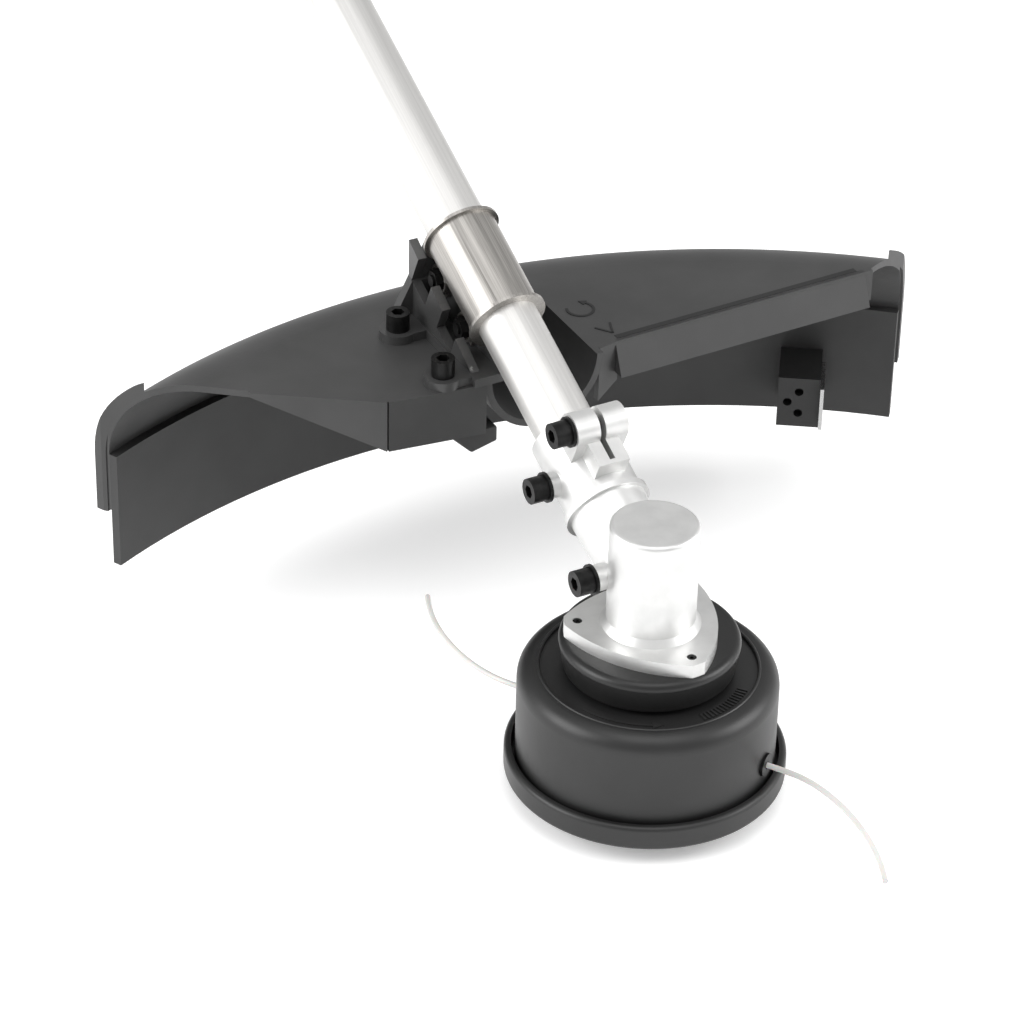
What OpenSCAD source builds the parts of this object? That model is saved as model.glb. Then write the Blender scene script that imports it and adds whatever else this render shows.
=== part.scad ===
// Cutting end of a split-shaft string trimmer: bump-feed head, bevel gear case, drive tube and guard.
// Z is the spin axis of the head, and the origin is the middle of the bump knob's bottom face.

/* [Drive tube] */
// Outer diameter of the drive tube
tube_d = 26; // [24:0.5:30]
// Wall of the drive tube
tube_wall = 1.5; // [1.2:0.1:2]
// Distance along the tube from the bevel apex to its upper end
tube_end = 700; // [500:10:900]
// Angle of the tube above the horizontal
tube_el = 25; // [20:1:35]
// Compass direction of the tube
tube_az = 121; // [100:1:140]
// Diameter of the drive shaft
shaft_d = 8; // [6:0.5:9]
// Length of the adaptor sleeve at the upper end
sleeve_len = 100; // [60:5:140]
// Outer diameter of the adaptor sleeve
sleeve_d = 28; // [27.5:0.5:34]

/* [Gear case] */
// Outer diameter of the upright housing
case_d = 36.4; // [34:0.2:44]
// Height of the top of the housing
case_top = 126.7; // [118:0.5:140]
// Height where the tube's axis meets the spin axis
apex_z = 94; // [90:0.5:100]
// Wall of the clamp socket
socket_wall = 3.5; // [2.5:0.5:5]
// Diameter of the ball bearings
bearing_d = 26; // [22:1:28]
// Bore of the ball bearings on the spindle
spindle_d = 10; // [8:0.5:12]
// Thickness of the three-cornered flange
flange_t = 6; // [4:0.5:8]
// Slant length from the apex to the outer end of the bevel teeth
cone_dist = 18.5; // [17:0.25:19]

/* [Head] */
// Diameter of the base rim
rim_d = 116; // [100:1:130]
// Diameter of the head housing
body_d = 106.8; // [92:0.2:112]
// Height of the underside of the base rim
rim_z = 8; // [6:0.5:14]
// Height of the base rim
rim_h = 11; // [8:0.5:14]
// Height of the top of the head
head_top = 58.5; // [56:0.5:60]
// Wall of the head housing
head_wall = 3; // [2:0.5:4]
// Diameter of the bump knob
knob_d = 46; // [36:1:56]
// Travel of the bump knob
knob_travel = 5; // [3:0.5:6]
// Diameter of the cutting line
line_d = 2.4; // [1.6:0.1:3]
// Height of the line eyelets
eyelet_z = 27; // [25:0.5:30]

/* [Dust cup] */
// Upper diameter of the dust cup
cup_d = 74; // [70:1:84]
// Lower diameter of the dust cup
cup_low_d = 70; // [66:1:80]

/* [Guard] */
// Radius of the guard's outer wall
guard_r = 335; // [320:1:350]
// Thickness of the guard's plastic
guard_t = 3; // [2.5:0.5:4]
// Height of the guard's flat top
guard_z = 128; // [124:0.5:134]
// Radius of the rounded rear shoulder
shoulder_r = 40; // [30:1:45]
// Height of the lower edge of the guard's wall
wall_z = 60; // [50:1:70]
// Height of the lower edge of the skirt extension
skirt_z = 33; // [26:1:45]
// Angle of the left end from the tube
left_deg = 27; // [24:0.5:32]
// Angle of the right end from the tube
right_deg = 40.5; // [38:0.5:46]
// Inner diameter of the trough under the tube
trough_d = 56; // [50:1:62]

/* [Clamp] */
// Wall of the clamp band
band_t = 2.3; // [1.5:0.1:3]
// Distance along the tube to the lower end of the band
band_from = 139; // [130:1:145]
// Length of the band
band_len = 48; // [40:1:56]

/* [Hidden] */
$fn = 64;
fit = 0.05;
gap = 0.3;
cut = 1;

// Bevel gear pair: the shaft angle is between the spin axis and the tube
gear_teeth = 20;
pinion_teeth = 15;
shaft_angle = 90 - tube_el;
pinion_cone = atan2(sin(shaft_angle), gear_teeth / pinion_teeth + cos(shaft_angle));
gear_cone = shaft_angle - pinion_cone;
face_w = 5;
module_mm = 2 * cone_dist * sin(gear_cone) / gear_teeth;

// Along the tube
tube_r = tube_d / 2;
socket_from = 42;
socket_to = 79;
socket_r = tube_r + socket_wall;
ear_s = 67;
ear_x = -24;
ear_r = 7.5;
ear_half = 11.5;
slot_w = 2.5;
locate_s = 58.5;
grease_s = 12.6;
boss_r = 5.5;
locate_boss_y = 20;
grease_boss_y = 21;
screw_r = 3;
washer_r = 6.4;
washer_t = 1.3;
bearing_r = bearing_d / 2;
bearing_w = 8;
pinion_seat = 24;
shaft_r = shaft_d / 2;
spindle_r = spindle_d / 2;
bushing_at = [150, 300, 450, 600];
bushing_len = 22;
square_len = 14;
square_w = 5.6;

// Up the spin axis
flange_z = 74;
pinion_heel = cone_dist * cos(pinion_cone);
gear_heel_z = apex_z + cone_dist * cos(gear_cone);
gear_toe_z = apex_z + (cone_dist - face_w) * cos(gear_cone);
gear_back = 3.5;
upper_z = gear_heel_z + gear_back;
lower_z = flange_z + 5;
flange_screw_pcd_r = 29.5;
cup_z = head_top + 1.5;

// Guard, in the tube's upright plane: u runs level below the tube and v to its left
arc_u = -97.6;
front_u = 127;
trough_v = -16;
trough_r = trough_d / 2;
trough_left = trough_v + trough_r;
trough_right = trough_v - trough_r;
guard_in = guard_r - guard_t;
shoulder_u = guard_r - shoulder_r;
apron_left_h = 24;
apron_right_h = 15;
lip_out = 4;
block_deg = -33.2;
block_w = 19;
block_depth = 27;
block_low = 40;
block_high = 65;

// Bracket and clamp
base_t = 4;
base_z = guard_z + base_t;
bracket_at = [[130, 28], [172, 28], [164, -14]];
clamp_s = [154, 180];
clamp_x = 21;
leg_half = 6.5;
web_half = 5;
leg_t = 2.3;
band_r = tube_r + band_t;

// Head
rim_r = rim_d / 2;
body_r = body_d / 2;
knob_r = knob_d / 2;
hub_r = 11;
spool_low = 16;
spool_high = 40;
spool_flange_r = body_r - head_wall - 4;
spool_core_r = 20;
line_r = line_d / 2;
eyelet_deg = -24;
// Free line from the eyelet outwards: chosen points, seen from above
line_route = [
    [45.7, -20.3, 27], [49.8, -22.2, 27], [53.9, -24.1, 27], [58, -26.2, 27], [63, -29, 27], [68, -33, 27],
    [72.5, -37.5, 26.8], [76.6, -42.4, 26.6], [80.4, -47.6, 26.4], [83.8, -53.2, 26.1],
    [86.9, -59, 25.8], [89.6, -65, 25.5], [91.9, -71.3, 25.2], [93.8, -77.7, 24.9],
    [95.2, -84.2, 24.6], [96, -90.5, 24.3]
];

// Places children with z along the tube, y to its left and x below it
module along_tube() {
    translate([0, 0, apex_z]) rotate([0, 90 - tube_el, tube_az]) children();
}

// Places children in the tube's upright plane, x level below the tube
module guard_frame() {
    rotate([0, 0, tube_az]) children();
}

module ring(r_out, r_in, h) {
    difference() {
        cylinder(r = r_out, h = h);
        translate([0, 0, -cut]) cylinder(r = r_in, h = h + 2 * cut);
    }
}

// Socket-head screw along z: the underside of the head is at 0 and the shank points down
module socket_screw(r, len, head_r, head_h, key) {
    difference() {
        union() {
            cylinder(r = head_r, h = head_h);
            translate([0, 0, -len]) cylinder(r = r, h = len + cut);
        }
        translate([0, 0, head_h * 0.45]) cylinder(d = key * 2 / sqrt(3), h = head_h, $fn = 6);
    }
}

// Turns z to y, for screws that lie across the tube
module across() {
    rotate([-90, 0, 0]) children();
}

// Cone of teeth with its apex at the origin, opening along z; the heel is the wide end
module bevel_teeth(teeth, cone, phase) {
    heel = cone_dist * cos(cone);
    toe = (cone_dist - face_w) * cos(cone);
    r_pitch = cone_dist * sin(cone);
    r_tip = heel * tan(cone + atan2(0.7 * module_mm, cone_dist));
    r_root = heel * tan(cone - atan2(1.05 * module_mm, cone_dist));
    step = 360 / teeth;
    translate([0, 0, heel]) mirror([0, 0, 1]) linear_extrude(height = heel - toe, scale = toe / heel)
        polygon([for (i = [0 : teeth - 1], k = [[-0.29, r_root], [-0.2, r_pitch], [-0.1, r_tip],
            [0.1, r_tip], [0.2, r_pitch], [0.29, r_root]])
            [k[1] * cos(phase + (i + k[0]) * step), k[1] * sin(phase + (i + k[0]) * step)]]);
}

// ---- Drive tube ----

module outer_tube() {
    color("silver") along_tube() difference() {
        translate([0, 0, socket_from]) ring(tube_r, tube_r - tube_wall, tube_end - socket_from);
        translate([0, 0, locate_s]) across() cylinder(r = screw_r + fit, h = tube_d);
    }
}

module coupling_sleeve() {
    color("dimgray") along_tube() translate([0, 0, tube_end - sleeve_len])
        ring(sleeve_d / 2, tube_r, sleeve_len);
}

module shaft_bushings() {
    color("black") along_tube() for (s = bushing_at)
        translate([0, 0, s]) ring(tube_r - tube_wall, shaft_r + fit, bushing_len);
}

module drive_shaft() {
    color("gray") along_tube() {
        translate([0, 0, socket_from - 2]) cylinder(r = shaft_r, h = tube_end - socket_from + 2);
        translate([-square_w / 2, -square_w / 2, tube_end - cut]) cube([square_w, square_w, square_len + cut]);
    }
}

// ---- Gear case ----

module case_outside() {
    translate([0, 0, flange_z]) rotate_extrude() {
        square([case_d / 2 - 2, case_top - flange_z]);
        square([case_d / 2, case_top - flange_z - 2]);
        translate([case_d / 2 - 2, case_top - flange_z - 2]) circle(r = 2);
    }
    translate([0, 0, flange_z + flange_t - cut]) cylinder(r1 = case_d / 2 + 3, r2 = case_d / 2, h = 4);
    flange_body();
    along_tube() {
        cylinder(r1 = 14.5, r2 = socket_r, h = socket_from);
        translate([0, 0, socket_from - 1]) cylinder(r = socket_r + 1.9, h = 2.6);
        translate([0, 0, socket_from]) cylinder(r = socket_r, h = socket_to - socket_from);
        translate([ear_x, 0, ear_s]) across() translate([0, 0, -ear_half]) cylinder(r = ear_r, h = 2 * ear_half);
        translate([ear_x, -7, ear_s - 19]) cube([12, 14, 19 + ear_r]);
        translate([-12, -ear_half, ear_s - ear_r]) mirror([1, 0, 0]) cube([-ear_x - 12, 2 * ear_half, 2 * ear_r]);
        translate([0, 0, locate_s]) across() cylinder(r = boss_r, h = locate_boss_y);
        translate([0, 0, grease_s]) across() cylinder(r = boss_r, h = grease_boss_y);
    }
}

// Three-cornered plate with bulging sides
module flange_body() {
    translate([0, 0, flange_z]) linear_extrude(height = flange_t) intersection() {
        circle(r = 35, $fn = 96);
        for_corner(-175) circle(r = 62, $fn = 96);
        for_corner(-55) circle(r = 62, $fn = 96);
        for_corner(65) circle(r = 62, $fn = 96);
    }
}

module for_corner(a) {
    rotate([0, 0, a]) translate([35, 0]) children();
}

module flange_holes(r, from, h) {
    for (a = [-175, -55, 65]) rotate([0, 0, a]) translate([flange_screw_pcd_r, 0, from]) cylinder(r = r, h = h);
}

module gear_case() {
    color("gainsboro") difference() {
        case_outside();
        translate([0, 0, flange_z - cut]) cylinder(r = bearing_r, h = upper_z + bearing_w - flange_z + cut);
        along_tube() {
            cylinder(r = 10.5, h = pinion_seat + cut);
            translate([0, 0, pinion_seat]) cylinder(r = bearing_r, h = socket_from - pinion_seat);
            translate([0, 0, socket_from]) cylinder(r = tube_r + fit, h = socket_to);
            translate([-40, -slot_w / 2, ear_s - 17]) cube([30, slot_w, 60]);
            translate([ear_x, 0, ear_s]) across() translate([0, 0, -30]) cylinder(r = screw_r + fit, h = 60);
            translate([0, 0, locate_s]) across() cylinder(r = screw_r + fit, h = 40);
            translate([0, 0, grease_s]) across() cylinder(r = screw_r + fit, h = 40);
        }
        flange_holes(2, flange_z - cut, 40);
    }
}

module pinch_bolt() {
    color("black") along_tube() translate([ear_x, ear_half + washer_t, ear_s]) across()
        socket_screw(screw_r, 2 * ear_half + washer_t, 5.4, 7, 5);
}

module locating_screw() {
    color("black") along_tube() translate([0, locate_boss_y + washer_t, locate_s]) across()
        socket_screw(screw_r, locate_boss_y + washer_t - tube_r + tube_wall, 5.4, 7, 5);
}

module grease_plug() {
    color("black") along_tube() translate([0, grease_boss_y + washer_t, grease_s]) across()
        socket_screw(screw_r, 8, 5.4, 7, 5);
}

module screw_washers() {
    color("black") along_tube() {
        translate([ear_x, ear_half, ear_s]) across() ring(washer_r, screw_r + fit, washer_t);
        translate([0, locate_boss_y, locate_s]) across() ring(washer_r, screw_r + fit, washer_t);
        translate([0, grease_boss_y, grease_s]) across() ring(washer_r, screw_r + fit, washer_t);
    }
}

module pinion_bearing() {
    color("silver") along_tube() translate([0, 0, pinion_seat + gap]) ring(bearing_r, shaft_r + 1 + fit, bearing_w);
}

module pinion_circlip() {
    color("gray") along_tube() translate([0, 0, pinion_seat + gap + bearing_w]) ring(bearing_r, bearing_r - 2.5, 1.2);
}

module input_pinion() {
    color("gray") along_tube() difference() {
        union() {
            bevel_teeth(pinion_teeth, pinion_cone, 180 + 180 / pinion_teeth);
            translate([0, 0, pinion_heel - 1]) cylinder(r = 6.5, h = pinion_seat - pinion_heel + 1);
            translate([0, 0, pinion_heel]) cylinder(r = shaft_r + 1, h = socket_from - pinion_heel - 2);
        }
        translate([0, 0, socket_from - 4]) cylinder(r = 2, h = 10);
    }
}

module output_gear() {
    color("gray") difference() {
        translate([0, 0, apex_z]) {
            bevel_teeth(gear_teeth, gear_cone, tube_az);
            translate([0, 0, gear_heel_z - apex_z - 1]) cylinder(r = 9, h = gear_back + 1);
        }
        translate([0, 0, apex_z]) cylinder(r = spindle_r, h = 40);
    }
}

module output_spindle() {
    color("silver") {
        translate([0, 0, head_top]) cylinder(r = spindle_r, h = upper_z + bearing_w - 1 - head_top);
        translate([0, 0, head_top]) cylinder(r = 12, h = flange_z - head_top - 4);
        translate([0, 0, head_top - 20]) cylinder(r = 4, h = 21);
    }
}

module upper_bearing() {
    color("silver") translate([0, 0, upper_z + gap]) ring(bearing_r, spindle_r + fit, bearing_w - gap - fit);
}

module lower_bearing() {
    color("silver") translate([0, 0, lower_z]) ring(bearing_r, spindle_r + fit, bearing_w);
}

module spindle_seal() {
    color("black") translate([0, 0, flange_z + 0.5]) ring(bearing_r, spindle_r + 0.08, lower_z - flange_z - 1);
}

module dust_cup() {
    color([0.09, 0.09, 0.09]) difference() {
        translate([0, 0, cup_z]) rotate_extrude() {
            polygon([[0, 0], [cup_low_d / 2, 0], [cup_d / 2, flange_z - cup_z - 3], [cup_d / 2 - 3, flange_z - cup_z - 3], [0, flange_z - cup_z - 3]]);
            square([cup_d / 2 - 3, flange_z - cup_z]);
            translate([cup_d / 2 - 3, flange_z - cup_z - 3]) circle(r = 3);
        }
        translate([0, 0, cup_z - cut]) cylinder(r = cup_low_d / 2 - 3, h = flange_z - cup_z - 3 + cut);
        translate([0, 0, cup_z]) cylinder(r = bearing_r, h = 40);
        flange_holes(1.6, flange_z - 8, 20);
    }
}

module flange_screws() {
    color("black") for (a = [-175, -55, 65]) rotate([0, 0, a]) translate([flange_screw_pcd_r, 0, flange_z + flange_t - 1.5])
        socket_screw(1.6, flange_t + 1, 1.95, 1.2, 1.5);
}

// ---- Guard ----

// Section through the flat top, the rounded shoulder and the wall, grown outwards by out
module guard_section(out, t) {
    difference() {
        guard_outline(shoulder_r + out, wall_z - out / 4);
        guard_outline(shoulder_r - t, wall_z - 10);
        translate([shoulder_u - 140, 0]) square([20, guard_z * 2]);
    }
}

module guard_outline(r, low) {
    translate([shoulder_u, guard_z - shoulder_r]) intersection() {
        circle(r = r, $fn = 96);
        square([r, r]);
    }
    translate([shoulder_u - 140, low]) square([140, guard_z - shoulder_r + r - low]);
    translate([shoulder_u - 1, low]) square([r + 1, guard_z - shoulder_r - low]);
}

// Plan outline of the top: straight front edges either side of the trough
module guard_plan() {
    polygon([[236, 190], [185, 137], [159, 103], [front_u, 55], [front_u - 5, trough_left], [front_u, trough_right],
        [front_u + 2, -54], [front_u + 6, -184], [150, -214], [160, -260], [400, -260], [400, 190]]);
}

// Plate that stands under the front edge between two plan points
module apron(a, b, h_a, h_b) {
    len = norm(b - a);
    translate([a[0], a[1], guard_z]) rotate([0, 0, atan2(b[1] - a[1], b[0] - a[0])]) rotate([90, 0, 0])
        translate([0, 0, -guard_t / 2]) linear_extrude(height = guard_t)
            polygon([[0, 0], [len, 0], [len, -h_b], [0, -h_a]]);
}

module end_lip(deg, turn) {
    translate([arc_u, 0, 0]) rotate([0, 0, deg]) rotate_extrude(angle = turn, $fn = 96)
        guard_section(lip_out, guard_t / 2);
}

module guard_shell() {
    color([0.27, 0.27, 0.27]) guard_frame() {
        difference() {
            intersection() {
                translate([arc_u, 0, 0]) rotate([0, 0, -right_deg])
                    rotate_extrude(angle = left_deg + right_deg, $fn = 96) guard_section(0, guard_t);
                linear_extrude(height = guard_z + 20) guard_plan();
            }
            translate([front_u - 20, trough_right + guard_t - 1, guard_z - guard_t - cut]) cube([64, trough_d - 2 * guard_t + 2, 10]);
            for (p = bracket_at) translate([p[0], p[1], guard_z - 10]) cylinder(r = screw_r + fit, h = 20);
        }
        intersection() {
            union() {
                end_lip(left_deg - 1, 1.2);
                end_lip(-right_deg - 0.2, 1);
            }
            linear_extrude(height = guard_z + 20) guard_plan();
        }
        apron([159, 103], [front_u, 55], 2, apron_left_h);
        apron([front_u, 55], [front_u - 5, trough_left], apron_left_h, apron_left_h);
        apron([front_u, trough_right], [front_u + 2, -54], 26, apron_right_h + 4);
        apron([front_u + 2, -54], [front_u + 6, -184], apron_right_h, apron_right_h);
        trough();
    }
}

// Half-round channel under the tube, closed at its rear
module trough() {
    translate([front_u - 5, trough_v, guard_z]) rotate([0, 90, 0]) {
        difference() {
            intersection() {
                cylinder(r = trough_r, h = 52);
                translate([0, -trough_r, 0]) cube([trough_r, trough_d, 52]);
            }
            translate([0, 0, -cut]) cylinder(r = trough_r - guard_t, h = 50);
            translate([-5, -trough_r, 50 - cut]) cube([5, trough_d, 5]);
        }
    }
}

module guard_extension() {
    color([0.2, 0.2, 0.2]) guard_frame() difference() {
        translate([arc_u, 0, 0]) rotate([0, 0, -right_deg]) rotate_extrude(angle = left_deg + right_deg, $fn = 96)
            translate([guard_in - 4, skirt_z]) square([4, guard_z - shoulder_r - skirt_z]);
        cutter_place() for (z = [block_low + 7, block_high - 7]) translate([0, 0, z]) rotate([0, 90, 0]) cylinder(r = 2, h = 400);
    }
}

// Places children on the cutter's radius, x outwards from the guard's centre
module cutter_place() {
    translate([arc_u, 0, 0]) rotate([0, 0, block_deg]) children();
}

module cutter_block() {
    color([0.16, 0.16, 0.16]) guard_frame() cutter_place() difference() {
        intersection() {
            translate([guard_in - 4 - block_depth, -block_w / 2, block_low])
                cube([block_depth + 10, block_w, block_high - block_low]);
            cylinder(r = guard_in - 4, h = 200, $fn = 96);
        }
        for (z = [block_low + 7, block_high - 7]) translate([200, 0, z]) rotate([0, 90, 0]) cylinder(r = 2, h = 200);
        translate([guard_in - 4 - block_depth - cut, 5, (block_low + block_high) / 2])
            rotate([0, 90, 0]) cylinder(r = 2, h = 6);
    }
}

module line_cutter_blade() {
    color("silver") guard_frame() cutter_place()
        translate([guard_in - 4 - block_depth - 5, -block_w / 2 - 1.6, block_low + 2])
            cube([24, 1.6, block_high - block_low - 4]);
}

module cutter_screws() {
    color("black") guard_frame() cutter_place() for (z = [block_low + 7, block_high - 7])
        translate([guard_in - 6 - block_depth + 6, 0, z]) rotate([0, 90, 0]) cylinder(r = 2, h = block_depth);
}

// ---- Bracket and clamp ----

module guard_bracket() {
    rear_u = 184;
    front = 120;
    color([0.14, 0.14, 0.14]) {
        guard_frame() difference() {
            union() {
                translate([front, -22, guard_z]) cube([rear_u - front, 40, base_t]);
                for (p = bracket_at) {
                    translate([p[0], p[1], guard_z]) cylinder(r = 8, h = base_t);
                    translate([p[0] - 7, min(p[1], 0), guard_z]) cube([14, abs(p[1]), base_t]);
                }
            }
            for (p = bracket_at) translate([p[0], p[1], guard_z - cut]) cylinder(r = screw_r + fit, h = 20);
        }
        difference() {
            guard_frame() {
                upright_plate(-web_half, 2 * web_half, [[front, base_z - 1], [rear_u, base_z - 1], [rear_u, 170], [front, 140]]);
                upright_plate(13, 4, [[front + 4, base_z - 1], [rear_u, base_z - 1], [rear_u, 166]]);
                cross_plate(rear_u - 4, 4.5, [[-22, base_z - 1], [26, base_z - 1], [web_half, 172], [-web_half, 172]]);
            }
            along_tube() translate([0, 0, 60]) cylinder(r = band_r + fit, h = 200);
            along_tube() for (s = [band_from, band_from + band_len - 1.4]) translate([0, 0, s - gap]) cylinder(r = band_r + 2.2, h = 2);
            along_tube() for (s = clamp_s) translate([clamp_x, -20, s]) across() cylinder(r = 2.5 + fit, h = 40);
            along_tube() for (s = clamp_s, y = [web_half, -web_half - 16]) translate([band_r - 8, y, s - leg_half - 0.5])
                cube([clamp_x + 6.5 - band_r + 8, 16, 2 * leg_half + 1]);
        }
    }
}

module upright_plate(v, t, outline) {
    translate([0, v + t, 0]) rotate([90, 0, 0]) linear_extrude(height = t) polygon(outline);
}

module cross_plate(u, t, outline) {
    translate([u, 0, 0]) rotate([90, 0, 90]) linear_extrude(height = t) polygon(outline);
}

module tube_clamp() {
    color([0.56, 0.55, 0.54]) along_tube() difference() {
        union() {
            translate([0, 0, band_from]) cylinder(r = band_r, h = band_len);
            for (s = [band_from, band_from + band_len - 1.4]) translate([0, 0, s]) cylinder(r = band_r + 1.8, h = 1.4);
            for (s = clamp_s, y = [web_half, -web_half - leg_t])
                translate([8, y, s - leg_half]) cube([clamp_x + 5.5 - 8, leg_t, 2 * leg_half]);
        }
        translate([0, 0, band_from - cut]) cylinder(r = tube_r, h = band_len + 2 * cut);
        for (s = clamp_s) translate([clamp_x, -20, s]) across() cylinder(r = 2.5 + fit, h = 40);
    }
}

module bracket_screws() {
    color("black") guard_frame() for (p = bracket_at)
        translate([p[0], p[1], base_z]) socket_screw(screw_r, base_t + guard_t, 5, 8, 5);
}

module clamp_bolts() {
    color("black") along_tube() for (s = clamp_s) translate([clamp_x, -web_half - leg_t, s])
        rotate([90, 0, 0]) socket_screw(2.5, 2 * (web_half + leg_t) + 5.5, 4.4, 5, 4);
}

module clamp_nuts() {
    color("black") along_tube() for (s = clamp_s) translate([clamp_x, web_half + leg_t, s]) across() difference() {
        cylinder(d = 8 * 2 / sqrt(3), h = 4.5, $fn = 6);
        translate([0, 0, -cut]) cylinder(r = 2.5 + fit, h = 8);
    }
}

// ---- Head ----

module head_housing() {
    color([0.17, 0.17, 0.17]) difference() {
        rotate_extrude($fn = 128) difference() {
            union() {
                translate([0, rim_z + 3]) square([body_r, head_top - 7.5 - rim_z - 3]);
                translate([0, rim_z + 3]) square([body_r - 7.5, head_top - rim_z - 3]);
                translate([body_r - 7.5, head_top - 7.5]) circle(r = 7.5);
            }
            translate([hub_r, rim_z]) square([body_r - head_wall - hub_r, head_top - 8 - rim_z]);
            translate([hub_r, rim_z]) square([body_r - 8 - hub_r, head_top - head_wall - rim_z]);
            translate([0, rim_z]) square([hub_r + 1, head_top - 20 - rim_z]);
            translate([30, head_top - 1]) square([body_r - 9 - 30, 5]);
        }
        translate([0, 0, 20]) cylinder(r = 4, h = 60);
        translate([0, 0, head_top - 20 - cut]) cylinder(d = 13 * 2 / sqrt(3), h = 7 + cut, $fn = 6);
        for (a = [eyelet_deg, eyelet_deg + 180]) rotate([0, 0, a]) translate([body_r - 8, 0, eyelet_z])
            rotate([0, 90, 0]) cylinder(r = 4, h = 12);
    }
}

module head_nut() {
    color("silver") translate([0, 0, head_top - 20]) difference() {
        cylinder(d = 13 * 2 / sqrt(3), h = 7, $fn = 6);
        translate([0, 0, -cut]) cylinder(r = 4, h = 9);
    }
}

module base_cover() {
    color([0.17, 0.17, 0.17]) rotate_extrude($fn = 128) difference() {
        union() {
            translate([0, rim_z + 2]) square([rim_r, rim_h - 4]);
            translate([0, rim_z]) square([rim_r - 2, rim_h]);
            translate([rim_r - 2, rim_z + 2]) circle(r = 2);
            translate([rim_r - 2, rim_z + rim_h - 2]) circle(r = 2);
        }
        translate([0, rim_z + 3]) square([rim_r - 3, rim_h]);
        translate([0, rim_z - cut]) square([knob_r + 0.6, 20]);
    }
}

module line_eyelets() {
    color("silver") for (a = [eyelet_deg, eyelet_deg + 180]) rotate([0, 0, a])
        translate([body_r - head_wall - 1, 0, eyelet_z]) rotate([0, 90, 0]) {
            ring(4, line_r + 0.4, head_wall + 1.8);
            translate([0, 0, head_wall + 1.05]) ring(5, line_r + 0.4, 1);
        }
}

module knob_spring() {
    turns = 4;
    steps = 20;
    radius = 16;
    wire = 1;
    base = spool_high + 1.2;
    height = head_top - head_wall - base - 1.2;
    path = [for (i = [0 : turns * steps]) [radius * cos(i * 360 / steps), radius * sin(i * 360 / steps), base + height * i / (turns * steps)]];
    color("silver") sweep(path, wire, 8);
}

// Tube of n sides along a list of points
module sweep(path, r, n) {
    last = len(path) - 1;
    rings = [for (i = [0 : last])
        let (d = path[min(i + 1, last)] - path[max(i - 1, 0)], t = d / norm(d),
            s = cross(t, [0, 0, 1]), a = s / norm(s), b = cross(a, t))
        for (k = [0 : n - 1]) path[i] + r * (a * cos(k * 360 / n) + b * sin(k * 360 / n))];
    sides = [for (i = [0 : last - 1], k = [0 : n - 1])
        let (m = (k + 1) % n) [i * n + k, i * n + m, (i + 1) * n + m, (i + 1) * n + k]];
    ends = [[for (k = [0 : n - 1]) n - 1 - k], [for (k = [0 : n - 1]) last * n + k]];
    polyhedron(rings, concat(sides, ends), convexity = 6);
}

module line_end_a() {
    color("white") sweep(line_route, line_r, 8);
}

module line_end_b() {
    color("white") rotate([0, 0, 180]) sweep(line_route, line_r, 8);
}

module bump_knob() {
    color([0.1, 0.1, 0.1]) difference() {
        union() {
            rotate_extrude($fn = 96) {
                square([knob_r - 3, rim_z + 4]);
                translate([0, 3]) square([knob_r, rim_z + 2]);
                translate([knob_r - 3, 3]) circle(r = 3);
                square([knob_r - 4, rim_z + 6]);
                translate([0, rim_z + 3 + gap]) square([knob_r + 3, 2]);
            }
            cylinder(r = 12, h = spool_low - fit);
            cylinder(r = 8, h = 30);
        }
        translate([0, 0, 12]) cylinder(r = 2.5, h = 30);
        for (a = [0 : 60 : 300]) rotate([0, 0, a]) translate([knob_r + 2, 0, -cut]) cylinder(r = 4, h = 6 + cut);
    }
}

module knob_screw() {
    color("silver") translate([0, 0, 30]) socket_screw(2.5, 12, 6.5, 2.5, 4);
}

module spool() {
    color([0.75, 0.1, 0.08]) difference() {
        union() {
            translate([0, 0, spool_low]) cylinder(r = spool_flange_r, h = 2);
            translate([0, 0, (spool_low + spool_high) / 2 - 1]) cylinder(r = spool_flange_r, h = 2);
            translate([0, 0, spool_high - 2]) cylinder(r = spool_flange_r, h = 2);
            translate([0, 0, spool_low]) cylinder(r = spool_core_r, h = spool_high - spool_low);
        }
        translate([0, 0, spool_low - cut]) cylinder(r = 8 + fit, h = 50);
        translate([0, 0, 29.5]) cylinder(r = 14, h = 50);
    }
}

module wound_line() {
    mid = (spool_low + spool_high) / 2;
    color("white") for (z = [[spool_low + 2, mid - 1], [mid + 1, spool_high - 2]])
        translate([0, 0, z[0]]) ring(spool_flange_r - 6, spool_core_r, z[1] - z[0]);
}

outer_tube();
coupling_sleeve();
shaft_bushings();
gear_case();
pinch_bolt();
locating_screw();
grease_plug();
screw_washers();
pinion_bearing();
pinion_circlip();
upper_bearing();
lower_bearing();
spindle_seal();
dust_cup();
flange_screws();
guard_shell();
guard_extension();
cutter_block();
line_cutter_blade();
cutter_screws();
guard_bracket();
tube_clamp();
bracket_screws();
clamp_bolts();
clamp_nuts();
drive_shaft();
input_pinion();
output_spindle();
output_gear();
head_nut();
head_housing();
base_cover();
line_eyelets();
knob_spring();
line_end_a();
line_end_b();
bump_knob();
knob_screw();
spool();
wound_line();
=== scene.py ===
import math

import bmesh
import bpy
from mathutils import Matrix, Vector


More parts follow.
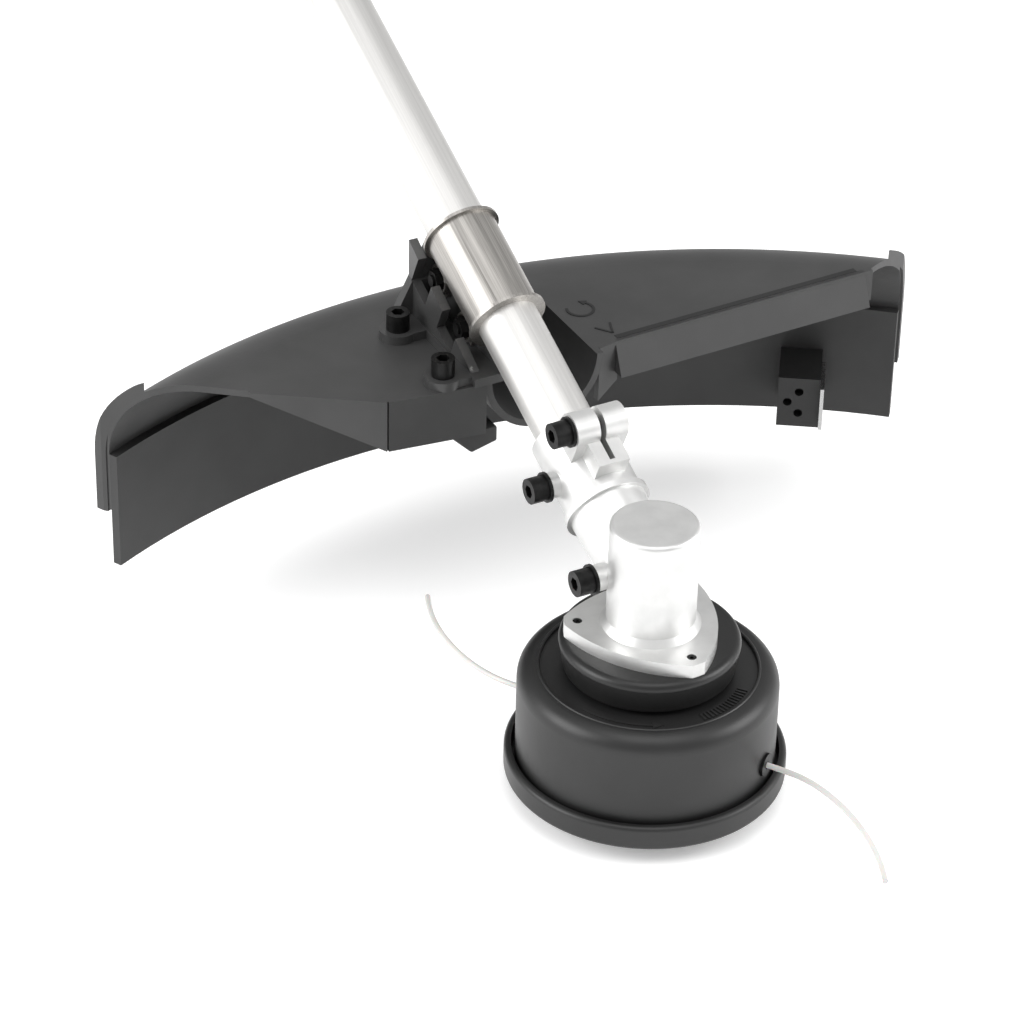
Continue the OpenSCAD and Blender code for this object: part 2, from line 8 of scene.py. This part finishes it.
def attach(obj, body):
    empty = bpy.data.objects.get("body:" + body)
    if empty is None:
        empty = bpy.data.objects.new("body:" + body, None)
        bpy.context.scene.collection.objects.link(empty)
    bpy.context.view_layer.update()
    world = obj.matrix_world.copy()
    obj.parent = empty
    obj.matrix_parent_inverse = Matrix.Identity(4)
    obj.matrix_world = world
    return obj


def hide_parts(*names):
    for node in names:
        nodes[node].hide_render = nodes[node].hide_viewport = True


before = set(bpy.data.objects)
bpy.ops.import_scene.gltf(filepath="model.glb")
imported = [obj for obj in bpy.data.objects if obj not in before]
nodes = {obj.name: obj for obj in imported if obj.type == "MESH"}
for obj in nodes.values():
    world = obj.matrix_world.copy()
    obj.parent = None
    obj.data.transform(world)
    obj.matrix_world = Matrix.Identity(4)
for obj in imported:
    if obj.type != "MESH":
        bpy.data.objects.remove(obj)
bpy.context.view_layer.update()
mm = 0.001

# The tube leaves the gear case's apex at this compass direction and rise, as the CAD has it
tube_az = math.radians(121)
tube_el = math.radians(25)
apex = Vector((0, 0, 0.094))

# Places a point given along the tube: z runs up the tube, y to its left and x below it
along_tube = (
    Matrix.Translation(apex)
    @ Matrix.Rotation(tube_az, 4, "Z")
    @ Matrix.Rotation(math.pi / 2 - tube_el, 4, "Y")
)
# Places a point given in the tube's upright plane: x runs level below the tube and y to its left
guard_frame = Matrix.Rotation(tube_az, 4, "Z")


# ---- Camera ----

def add_camera():
    yaw, pitch, roll = math.radians(-2.458), math.radians(33.233), math.radians(1.31)
    forward = Vector((math.sin(yaw) * math.cos(pitch), math.cos(yaw) * math.cos(pitch), -math.sin(pitch)))
    level = Vector((math.cos(yaw), -math.sin(yaw), 0))
    upright = level.cross(forward)
    right = level * math.cos(roll) + upright * math.sin(roll)
    up = upright * math.cos(roll) - level * math.sin(roll)
    data = bpy.data.cameras.new("studio_camera")
    data.sensor_width = 36
    data.lens = 140.625
    data.clip_end = 20
    camera = bpy.data.objects.new("studio_camera", data)
    turn = Matrix((right, up, -forward)).transposed().to_4x4()
    place = (0, -1.3219, 0.9958)
    camera.matrix_world = Matrix.Translation(place) @ turn
    bpy.context.collection.objects.link(camera)
    bpy.context.scene.camera = camera


add_camera()


# ---- Cutting line ----

# Free line, from its eyelet outwards, in millimetres: springy nylon that keeps the curl of the spool
line_route = [
    (45.7, -20.3, 27), (49.8, -22.2, 27), (53.9, -24.1, 27), (58, -26.2, 27), (63, -29, 27),
    (68, -33, 27), (72.5, -37.5, 26.8), (76.6, -42.4, 26.6), (80.4, -47.6, 26.4), (83.8, -53.2, 26.1),
    (86.9, -59, 25.8), (89.6, -65, 25.5), (91.9, -71.3, 25.2), (93.8, -77.7, 24.9), (95.2, -84.2, 24.6),
    (96, -90.5, 24.3),
]
line_diameter = 2.4 * mm


def free_line(name, replaced, turn):
    points = [turn @ (Vector(p) * mm) for p in line_route]
    curve = bpy.data.curves.new(name, "CURVE")
    curve.dimensions = "3D"
    # Each point carries the radius, so the depth it is multiplied by is one
    curve.bevel_depth = 1
    curve.bevel_resolution = 4
    curve.resolution_u = 6
    curve.use_fill_caps = True
    spline = curve.splines.new("NURBS")
    spline.points.add(len(points) - 1)
    for knot, point in zip(spline.points, points):
        knot.co = (*point, 1)
        knot.radius = line_diameter / 2
    spline.order_u = 4
    spline.use_endpoint_u = True
    line = bpy.data.objects.new(name, curve)
    bpy.context.collection.objects.link(line)
    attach(line, "head")
    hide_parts(replaced)
    return line


line_a = free_line("cutting_line_a", "line_end_a", Matrix.Identity(4))
line_b = free_line("cutting_line_b", "line_end_b", Matrix.Rotation(math.pi, 4, "Z"))


# ---- Materials ----

# Most of a noise texture lies between these two values
noise_low, noise_high = 0.3, 0.7


def srgb(code):
    """Turns an sRGB hex value to linear colour."""
    parts = [int(code[i:i + 2], 16) / 255 for i in (1, 3, 5)]
    return tuple([p / 12.92 if p <= 0.04045 else ((p + 0.055) / 1.055) ** 2.4 for p in parts] + [1])


def add(tree, kind, settings=None, links=None):
    """Adds a shader node, sets its fields and sockets, and links sockets to other nodes' outputs."""
    made = tree.nodes.new(kind)
    for key, value in (settings or {}).items():
        if isinstance(key, str) and hasattr(made, key):
            setattr(made, key, value)
        else:
            made.inputs[key].default_value = value
    for key, source in (links or {}).items():
        tree.links.new(source, made.inputs[key])
    return made


def start(name):
    made = bpy.data.materials.new(name)
    made.use_nodes = True
    made.node_tree.nodes.clear()
    return made, made.node_tree


def close(tree, shader):
    add(tree, "ShaderNodeOutputMaterial", links={"Surface": shader.outputs["BSDF"]})


def mottled(tree, place, size_mm, dark, light, detail=3.0):
    """Colour that drifts between two tones over patches of the given size."""
    noise = add(tree, "ShaderNodeTexNoise", {"Scale": 1000 / size_mm, "Detail": detail}, {"Vector": place})
    ramp = add(tree, "ShaderNodeValToRGB", links={"Fac": noise.outputs["Fac"]})
    ramp.color_ramp.elements[0].position = 0.35
    ramp.color_ramp.elements[0].color = srgb(dark)
    ramp.color_ramp.elements[1].position = 0.65
    ramp.color_ramp.elements[1].color = srgb(light)
    return ramp.outputs["Color"]


def varied_gloss(tree, place, size_mm, low, high):
    """Roughness that drifts between two values, as handling and mould wear leave it."""
    noise = add(tree, "ShaderNodeTexNoise", {"Scale": 1000 / size_mm, "Detail": 4.0}, {"Vector": place})
    spread = add(tree, "ShaderNodeMapRange",
                 {"From Min": noise_low, "From Max": noise_high, "To Min": low, "To Max": high},
                 {"Value": noise.outputs["Fac"]})
    return spread.outputs["Result"]


def spark_eroded_plastic(name, dark, light, gloss, grain_mm, relief_mm):
    """Moulded plastic from a spark-eroded mould: an even fine grain that breaks up the highlights."""
    made, tree = start(name)
    place = add(tree, "ShaderNodeTexCoord").outputs["Object"]
    grain = add(tree, "ShaderNodeTexNoise", {"Scale": 1000 / grain_mm, "Detail": 2.0}, {"Vector": place})
    bump = add(tree, "ShaderNodeBump", {"Strength": 0.35, "Distance": relief_mm * mm},
               {"Height": grain.outputs["Fac"]})
    shader = add(tree, "ShaderNodeBsdfPrincipled", {"IOR": 1.49, "Metallic": 0.0}, {
        "Base Color": mottled(tree, place, 30, dark, light),
        "Roughness": varied_gloss(tree, place, 45, gloss - 0.04, gloss + 0.05),
        "Normal": bump.outputs["Normal"]})
    close(tree, shader)
    return made


def die_cast_aluminium(name):
    """Pressure die-cast aluminium, vibratory finished: bright, satin and faintly pebbled by the media."""
    made, tree = start(name)
    place = add(tree, "ShaderNodeTexCoord").outputs["Object"]
    # The media leave marks of about 0.2 mm, drawn here at 0.6 mm so that they show
    pebble = add(tree, "ShaderNodeTexNoise", {"Scale": 1000 / 0.6, "Detail": 3.0}, {"Vector": place})
    flow = add(tree, "ShaderNodeTexNoise", {"Scale": 1000 / 14, "Detail": 2.0}, {"Vector": place})
    fine = add(tree, "ShaderNodeBump", {"Strength": 0.25, "Distance": 0.05 * mm},
               {"Height": pebble.outputs["Fac"]})
    bump = add(tree, "ShaderNodeBump", {"Strength": 0.3, "Distance": 0.25 * mm},
               {"Height": flow.outputs["Fac"], "Normal": fine.outputs["Normal"]})
    shader = add(tree, "ShaderNodeBsdfPrincipled", {"Metallic": 0.85}, {
        "Base Color": mottled(tree, place, 9, "#d6d6d5", "#dededd"),
        "Roughness": varied_gloss(tree, place, 20, 0.38, 0.46),
        "Normal": bump.outputs["Normal"]})
    close(tree, shader)
    return made


def drawn_metal(name, dark, light, gloss, lines_mm, length_mm, axis):
    """Drawn or brushed metal: fine scratches that run one way and stretch the highlights across them."""
    made, tree = start(name)
    place = add(tree, "ShaderNodeTexCoord").outputs["Object"]
    # The pattern is turned so that its z runs along the tube, then pulled out along the scratches
    turned = add(tree, "ShaderNodeMapping", {"vector_type": "TEXTURE", "Location": tuple(apex),
                                            "Rotation": (0, math.pi / 2 - tube_el, tube_az)},
                 {"Vector": place})
    pull = [1000 / lines_mm] * 3
    pull[axis] = 1000 / length_mm
    drawn = add(tree, "ShaderNodeMapping", {"Scale": tuple(pull)}, {"Vector": turned.outputs["Vector"]})
    scratch = add(tree, "ShaderNodeTexNoise", {"Scale": 1.0, "Detail": 4.0},
                  {"Vector": drawn.outputs["Vector"]})
    ramp = add(tree, "ShaderNodeValToRGB", links={"Fac": scratch.outputs["Fac"]})
    ramp.color_ramp.elements[0].position = 0.3
    ramp.color_ramp.elements[0].color = srgb(dark)
    ramp.color_ramp.elements[1].position = 0.7
    ramp.color_ramp.elements[1].color = srgb(light)
    rough = add(tree, "ShaderNodeMapRange",
                {"From Min": noise_low, "From Max": noise_high, "To Min": gloss - 0.05, "To Max": gloss + 0.07},
                {"Value": scratch.outputs["Fac"]})
    bump = add(tree, "ShaderNodeBump", {"Strength": 0.2, "Distance": 0.03 * mm},
               {"Height": scratch.outputs["Fac"]})
    shader = add(tree, "ShaderNodeBsdfPrincipled", {"Metallic": 1.0}, {
        "Base Color": ramp.outputs["Color"], "Roughness": rough.outputs["Result"],
        "Normal": bump.outputs["Normal"]})
    close(tree, shader)
    return made


def black_oxide_steel(name):
    """Socket screws in oil-dipped black oxide: nearly black, with a soft metal sheen at the turned edges."""
    made, tree = start(name)
    place = add(tree, "ShaderNodeTexCoord").outputs["Object"]
    grain = add(tree, "ShaderNodeTexNoise", {"Scale": 1000 / 0.5, "Detail": 3.0}, {"Vector": place})
    bump = add(tree, "ShaderNodeBump", {"Strength": 0.2, "Distance": 0.04 * mm},
               {"Height": grain.outputs["Fac"]})
    shader = add(tree, "ShaderNodeBsdfPrincipled", {"Metallic": 0.7}, {
        "Base Color": mottled(tree, place, 3, "#161616", "#222222"),
        "Roughness": varied_gloss(tree, place, 4, 0.34, 0.46),
        "Normal": bump.outputs["Normal"]})
    close(tree, shader)
    return made


def coated_casting(name):
    """Cast bracket in thin black coat: rubbed through to bare metal in small patches."""
    made, tree = start(name)
    place = add(tree, "ShaderNodeTexCoord").outputs["Object"]
    wear = add(tree, "ShaderNodeTexNoise", {"Scale": 1000 / 7, "Detail": 6.0, "Roughness": 0.7},
               {"Vector": place})
    bare = add(tree, "ShaderNodeMapRange",
               {"From Min": 0.66, "From Max": 0.72, "To Min": 0.0, "To Max": 0.75},
               {"Value": wear.outputs["Fac"]})
    tint = add(tree, "ShaderNodeMix", {"data_type": "RGBA"}, {"Factor": bare.outputs["Result"]})
    # The mix node's colour sockets share their names with its other sockets, so they are taken by place
    coat, metal, mixed = tint.inputs[6], tint.inputs[7], tint.outputs[2]
    coat.default_value = srgb("#383838")
    metal.default_value = srgb("#9a9a98")
    cast = add(tree, "ShaderNodeTexNoise", {"Scale": 1000 / 0.9, "Detail": 3.0}, {"Vector": place})
    bump = add(tree, "ShaderNodeBump", {"Strength": 0.4, "Distance": 0.08 * mm},
               {"Height": cast.outputs["Fac"]})
    shader = add(tree, "ShaderNodeBsdfPrincipled", {}, {
        "Base Color": mixed, "Metallic": bare.outputs["Result"],
        "Roughness": varied_gloss(tree, place, 12, 0.3, 0.42), "Normal": bump.outputs["Normal"]})
    close(tree, shader)
    return made


def drawn_nylon(name):
    """Extruded nylon line: milky and slightly glossy, with faint draw lines."""
    made, tree = start(name)
    place = add(tree, "ShaderNodeTexCoord").outputs["Object"]
    shader = add(tree, "ShaderNodeBsdfPrincipled", {
        "IOR": 1.53, "Subsurface Weight": 0.3, "Subsurface Scale": 0.001}, {
        "Base Color": mottled(tree, place, 12, "#cbcac7", "#d2d1ce"),
        "Roughness": varied_gloss(tree, place, 3, 0.28, 0.4)})
    close(tree, shader)
    return made


tube_finish = drawn_metal("anodised_aluminium_tube", "#d2d1cf", "#dfdedc", 0.46, 0.5, 90, 2)
band_finish = drawn_metal("brushed_steel_band", "#8f8c88", "#b9b6b2", 0.36, 0.45, 40, 2)
turned_steel = drawn_metal("ground_bearing_steel", "#a5a5a5", "#c4c4c4", 0.28, 0.4, 6, 2)
case_finish = die_cast_aluminium("die_cast_aluminium")
screw_finish = black_oxide_steel("black_oxide_screws")
bracket_finish = coated_casting("coated_bracket_casting")
guard_finish = spark_eroded_plastic("moulded_polypropylene_guard", "#333333", "#393939", 0.5, 0.9, 0.06)
# The skirt finish is the guard's own plastic made darker: painted shade for the parts under the guard's edge
skirt_shade_finish = spark_eroded_plastic("moulded_polypropylene_skirt_painted_shade", "#272727", "#2c2c2c", 0.52, 0.9, 0.06)
# Near-black plastic for the sunk direction marks; the same finish is painted shade on the thin ledge strip
# above the right apron
mark_and_ledge_shade_finish = spark_eroded_plastic("sunk_marks_and_painted_ledge_shade", "#161616", "#1a1a1a", 0.6, 0.9, 0.06)
head_finish = spark_eroded_plastic("glass_filled_nylon_head", "#191919", "#1f1f1f", 0.42, 0.8, 0.05)
rib_finish = spark_eroded_plastic("raised_ribs_nylon", "#1d1d1d", "#242424", 0.38, 0.8, 0.05)
cup_finish = spark_eroded_plastic("glass_filled_nylon_cup", "#0f0f0f", "#141414", 0.4, 0.8, 0.05)
sleeve_finish = spark_eroded_plastic("moulded_adaptor_plastic", "#1c1c1c", "#232323", 0.5, 0.8, 0.05)
seal_finish = spark_eroded_plastic("nitrile_seal_rubber", "#101010", "#161616", 0.6, 1.0, 0.05)
acetal_finish = spark_eroded_plastic("natural_acetal", "#cfccc2", "#dad7cd", 0.35, 1.2, 0.03)
reel_finish = spark_eroded_plastic("red_acetal_spool", "#a8281c", "#b83022", 0.35, 1.2, 0.03)
line_finish = drawn_nylon("drawn_nylon_line")

finishes = {
    "outer_tube": tube_finish, "coupling_sleeve": sleeve_finish, "shaft_bushings": acetal_finish,
    "gear_case": case_finish, "pinch_bolt": screw_finish, "locating_screw": screw_finish,
    "grease_plug": screw_finish, "screw_washers": screw_finish, "pinion_bearing": turned_steel,
    "pinion_circlip": turned_steel, "upper_bearing": turned_steel, "lower_bearing": turned_steel,
    "spindle_seal": seal_finish, "dust_cup": cup_finish, "flange_screws": screw_finish,
    "guard_shell": guard_finish, "guard_extension": skirt_shade_finish, "cutter_block": sleeve_finish,
    "line_cutter_blade": turned_steel, "cutter_screws": screw_finish, "guard_bracket": bracket_finish,
    "tube_clamp": band_finish, "bracket_screws": screw_finish, "clamp_bolts": screw_finish,
    "clamp_nuts": screw_finish, "drive_shaft": turned_steel, "input_pinion": turned_steel,
    "output_spindle": turned_steel, "output_gear": turned_steel, "head_nut": turned_steel,
    "head_housing": head_finish, "base_cover": head_finish, "line_eyelets": screw_finish,
    "knob_spring": turned_steel, "bump_knob": head_finish, "knob_screw": turned_steel,
    "spool": reel_finish, "wound_line": line_finish,
}
for name, finish in finishes.items():
    mesh = nodes[name].data
    mesh.materials.clear()
    mesh.materials.append(finish)
line_a.data.materials.append(line_finish)
line_b.data.materials.append(line_finish)


# ---- Detail pieces ----

def piece(name, mesh_code, place, body, finish):
    """Turns a bmesh made in millimetres into a riding piece, with its place in its mesh."""
    mesh = bpy.data.meshes.new(name)
    bmesh.ops.scale(mesh_code, vec=(mm, mm, mm), verts=mesh_code.verts)
    bmesh.ops.transform(mesh_code, matrix=place, verts=mesh_code.verts)
    bmesh.ops.recalc_face_normals(mesh_code, faces=mesh_code.faces)
    mesh_code.to_mesh(mesh)
    mesh_code.free()
    mesh.materials.append(finish)
    made = bpy.data.objects.new(name, mesh)
    bpy.context.collection.objects.link(made)
    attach(made, body)
    return made


turn_across = Matrix.Rotation(-math.pi / 2, 4, "X")


def at(frame_matrix, x, y, z):
    return frame_matrix @ Matrix.Translation((x * mm, y * mm, z * mm))


def prism(outline, depth, shift=(0, 0)):
    """Closed block: the outline in x and y, drawn out along z, with its far end moved sideways by shift."""
    block = bmesh.new()
    near = block.faces.new([block.verts.new((x, y, 0)) for x, y in outline])
    drawn = bmesh.ops.extrude_face_region(block, geom=[near])
    far = [v for v in drawn["geom"] if isinstance(v, bmesh.types.BMVert)]
    bmesh.ops.translate(block, vec=(shift[0], shift[1], depth), verts=far)
    return block


def soften(block, width, segments=2):
    bmesh.ops.bevel(block, geom=list(block.edges), offset=width, segments=segments, profile=0.5,
                    affect="EDGES",
                    material=-1, clamp_overlap=True)
    return block


def turned_ring(outline, start_deg=0, sweep_deg=360, steps=96):
    """Ring spun about z from an outline in radius and height; under a full turn its ends are closed."""
    ring = bmesh.new()
    begin = math.radians(start_deg)
    verts = [ring.verts.new((r * math.cos(begin), r * math.sin(begin), z)) for r, z in outline]
    face = ring.faces.new(verts)
    full = sweep_deg >= 360
    spun = bmesh.ops.spin(ring, geom=list(ring.verts) + list(ring.edges) + [face], cent=(0, 0, 0),
                          axis=(0, 0, 1),
                          angle=math.radians(sweep_deg), steps=steps, use_merge=full, use_duplicate=False)
    if full:
        bmesh.ops.delete(ring,
                         geom=[f for f in ring.faces if len(f.verts) == len(outline) and f.calc_area() > 0
                                     and all(abs(v.co.y) < 1e-4 and v.co.x > 0 for v in f.verts)],
                         context="FACES_ONLY")
    bmesh.ops.remove_doubles(ring, verts=ring.verts, dist=0.0005)
    return ring


# The guard's right apron leans towards the head at its foot, below a shallow step in the plate
apron_turn = guard_frame @ Matrix.Rotation(math.pi / 2, 4, "X")
apron = prism([(127.8, 128), (121.5, 113.2), (128.4, 113.2), (129.6, 128)], 127, shift=(4.2, 0))
piece("right_apron_face", apron, apron_turn @ Matrix.Translation((0, 0, 53 * mm)), "root",
      guard_finish)
# This thin ledge strip is drawn near-black as painted shade, because the ledge faces away from the light
step = prism([(129.6, 127.5), (132.4, 127.5), (132.4, 128.12), (129.6, 128.12)], 122, shift=(4.2, 0))
piece("right_apron_step_painted_shade", step, apron_turn @ Matrix.Translation((0, 0, 55 * mm)), "root",
      mark_and_ledge_shade_finish)

# Lug that stiffens the trough's mouth, moulded under the left apron
outward = Matrix(((0, 0, 1, 0), (1, 0, 0, 0), (0, 1, 0, 0), (0, 0, 0, 1)))
lug = soften(prism([(6, 98), (18, 95), (28, 105), (6, 105)], 11), 0.8)
# The lug uses the darker skirt plastic: painted shade under the left apron
piece("trough_lug", lug, at(guard_frame, 122, 0, 0) @ outward, "root", skirt_shade_finish)

# Direction marks, sunk and dark: an open arc with its arrowhead, and a chevron
arc_place = at(guard_frame, 158, -52.5, 127.9)
arc = turned_ring([(5.2, 0), (6.4, 0), (6.4, 0.35), (5.2, 0.35)], 60, 250, 40)
piece("direction_arc", arc, arc_place, "root", mark_and_ledge_shade_finish)
head_mark = prism([(0, -1.9), (3.4, 0), (0, 1.9)], 0.35)
piece("direction_arrowhead", head_mark,
      arc_place @ Matrix.Rotation(math.radians(310), 4, "Z")
      @ Matrix.Translation((5.8 * mm, 0, 0)) @ Matrix.Rotation(math.radians(90), 4, "Z"), "root",
      mark_and_ledge_shade_finish)
for side, lean in (("left", 28), ("right", -28)):
    stroke = prism([(0, -0.45), (8.5, -0.45), (8.5, 0.45), (0, 0.45)], 0.35)
    piece(f"chevron_{side}", stroke,
          at(guard_frame, 134.5, -55.5, 127.9) @ Matrix.Rotation(math.radians(lean + 8), 4, "Z"),
          "root", mark_and_ledge_shade_finish)

# Bright rims of the clamp's nut bosses
clamp_places = (154, 180)
for i, s in enumerate(clamp_places):
    rim = turned_ring([(5.3, 0), (6.6, 0), (6.6, 1.4), (6.2, 1.8), (5.6, 1.8), (5.3, 1.4)], steps=48)
    piece(f"nut_boss_rim_{i}", rim, at(along_tube, 21, 7.3, s) @ turn_across, "root",
          band_finish)

# Head: a low ring round the plateau, an arrow for its turning sense, and a grip pattern of short ribs
plateau = turned_ring([(44.2, 58.2), (45.6, 58.2), (45.6, 58.6), (45.2, 58.95), (44.6, 58.95), (44.2, 58.6)],
                      steps=128)
piece("plateau_ring", plateau, Matrix.Identity(4), "head", head_finish)
sense = turned_ring([(40.4, 57.3), (41.5, 57.3), (41.5, 58), (40.4, 58)], -128, 42, 32)
piece("turning_arc", sense, Matrix.Identity(4), "head", rib_finish)
sense_tip = prism([(0, -2.1), (4, 0), (0, 2.1)], 0.7)
piece("turning_arrowhead", sense_tip,
      Matrix.Rotation(math.radians(-86), 4, "Z") @ at(Matrix.Identity(4), 40.95, 0, 57.3)
      @ Matrix.Rotation(math.radians(90), 4, "Z"), "head", rib_finish)
rib_count, rib_step_deg = 15, 2.6
for i in range(rib_count):
    rib = prism([(38.2, -0.4), (42.6, -0.4), (42.6, 0.4), (38.2, 0.4)], 0.7)
    piece(f"grip_rib_{i:02d}", rib,
          Matrix.Rotation(math.radians(-56 + i * rib_step_deg), 4, "Z") @ at(Matrix.Identity(4), 0, 0, 57.3),
          "head", rib_finish)


# ---- Studio ----

def add_studio():
    floor_mesh = bpy.data.meshes.new("studio_floor")
    floor_code = bmesh.new()
    bmesh.ops.create_grid(floor_code, x_segments=1, y_segments=1, size=6)
    floor_code.to_mesh(floor_mesh)
    floor_code.free()
    paper, tree = start("matt_white_paper")
    shader = add(tree, "ShaderNodeBsdfPrincipled", {
        "Base Color": srgb("#fbfbfb"), "Roughness": 0.9, "Emission Color": srgb("#ffffff"),
        "Emission Strength": 0.22})
    close(tree, shader)
    floor_mesh.materials.append(paper)
    floor = bpy.data.objects.new("studio_floor", floor_mesh)
    floor.location.z = -0.0005
    bpy.context.collection.objects.link(floor)
    world = bpy.data.worlds.new("studio_air")
    world.use_nodes = True
    world.node_tree.nodes["Background"].inputs["Color"].default_value = (1, 1, 1, 1)
    world.node_tree.nodes["Background"].inputs["Strength"].default_value = 0.62
    bpy.context.scene.world = world
    soft_lights = [
        ("left_softbox", (-1.7, -0.5, 1.0), 30, 1.3),
        ("right_softbox", (1.6, 0.1, 0.9), 20, 1.1),
        ("top_softbox", (0.1, -0.5, 2.2), 16, 1.6),
    ]
    for name, place, watts, size in soft_lights:
        data = bpy.data.lights.new(name, "AREA")
        data.energy = watts
        data.size = size
        lamp = bpy.data.objects.new(name, data)
        lamp.location = place
        lamp.rotation_euler = (Vector((0, 0.1, 0.1)) - Vector(place)).to_track_quat("-Z", "Y").to_euler()
        bpy.context.collection.objects.link(lamp)
    bpy.context.scene.view_settings.view_transform = "Standard"


add_studio()
